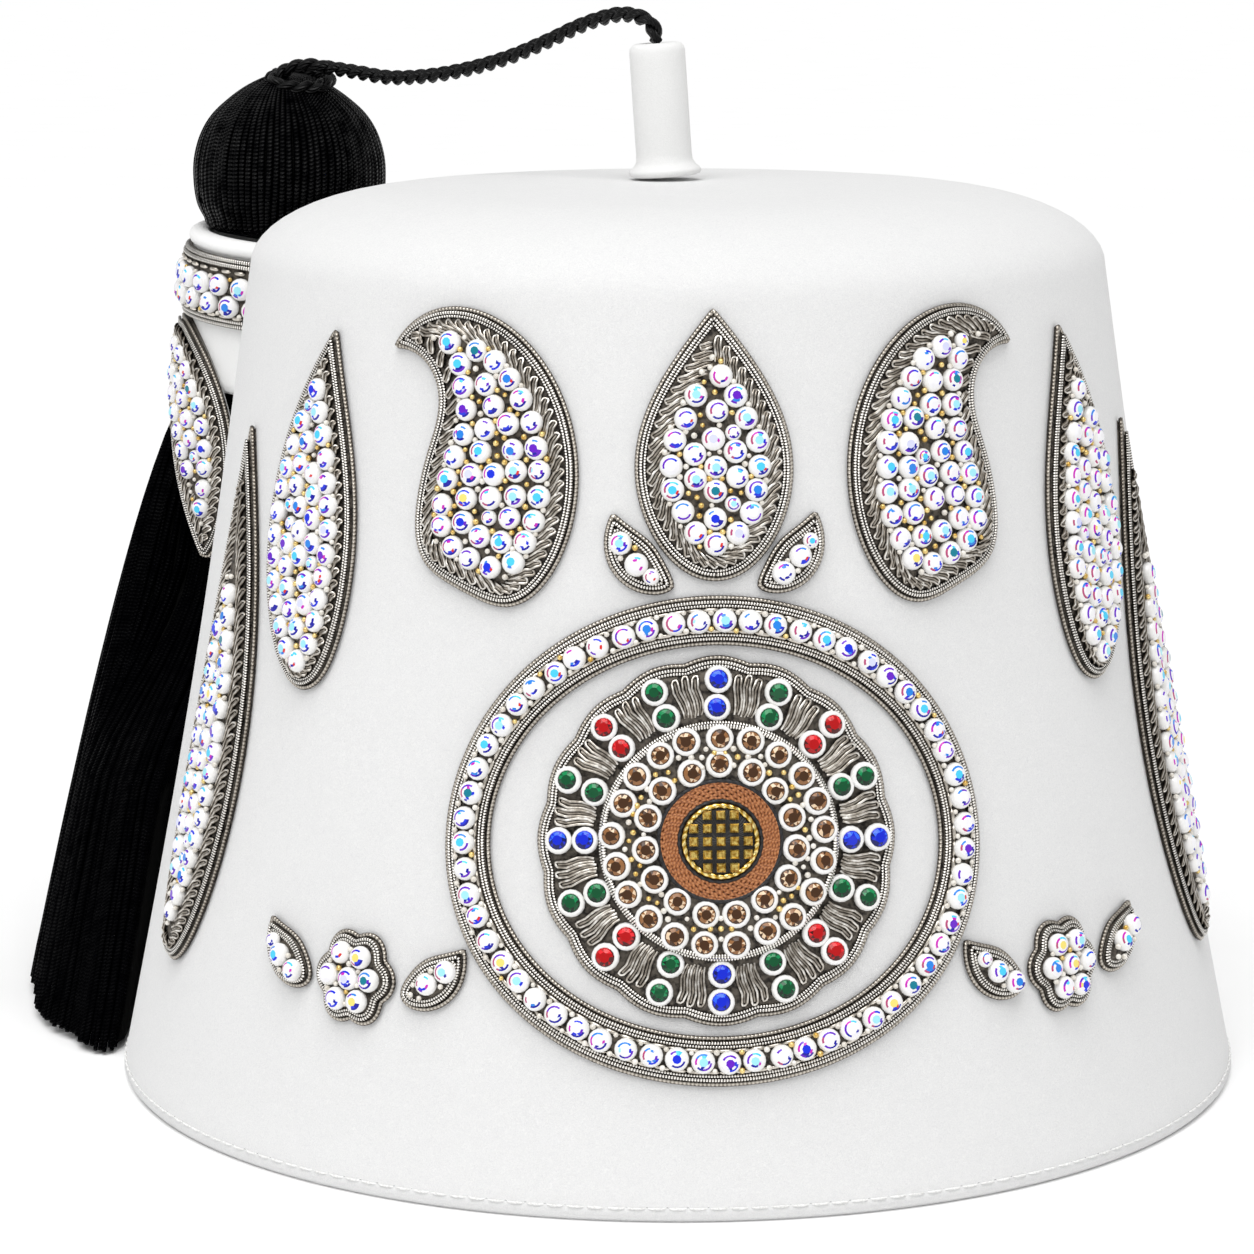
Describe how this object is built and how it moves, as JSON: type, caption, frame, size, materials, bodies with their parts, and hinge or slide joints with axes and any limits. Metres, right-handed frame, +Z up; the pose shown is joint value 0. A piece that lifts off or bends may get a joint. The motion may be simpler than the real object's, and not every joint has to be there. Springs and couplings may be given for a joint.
{
  "type": "fez",
  "caption": "Tall brimless felt hat with a flat top and an open hollow, sewn jewelled leaves, ring and medallion, and a cord with a side tassel.",
  "frame": {"origin": "middle of the base of everything but the cord, on the surface that the rim stands on", "axes": "+Z up, -Y to the front where the rosette is, +X to the right; the tassel hangs at the back left"},
  "size_m": [0.2078, 0.204, 0.1729],
  "materials": {
    "white_felt": "matte pressed wool felt",
    "black_cord": "twisted rayon cord, slight sheen",
    "silver_bullion": "antique silver bullion wire, sewn",
    "pearl_crystal": "glossy white cups with iridescent cut crystals",
    "amber_crystal": "amber and coloured cut crystals in white cups"
  },
  "bodies": {
    "root": {"crown": "white_felt", "stem": "white_felt", "tassel_cord": "black_cord", "tassel": "black_cord", "cuff": "white_felt", "cuff_band": "silver_bullion", "cuff_flap": "silver_bullion", "bud": "silver_bullion", "bud_leaf_left": "silver_bullion", "bud_leaf_right": "silver_bullion", "paisley_left": "silver_bullion", "paisley_right": "silver_bullion", "tall_leaf_left": "silver_bullion", "tall_leaf_right": "silver_bullion", "side_leaf_left": "silver_bullion", "side_leaf_right": "silver_bullion", "ring": "pearl_crystal", "rosette": "amber_crystal", "flower_left": "silver_bullion", "flower_right": "silver_bullion", "leaflet_left_a": "silver_bullion", "leaflet_left_b": "silver_bullion", "leaflet_right_a": "silver_bullion", "leaflet_right_b": "silver_bullion"}
  },
  "joints": []
}
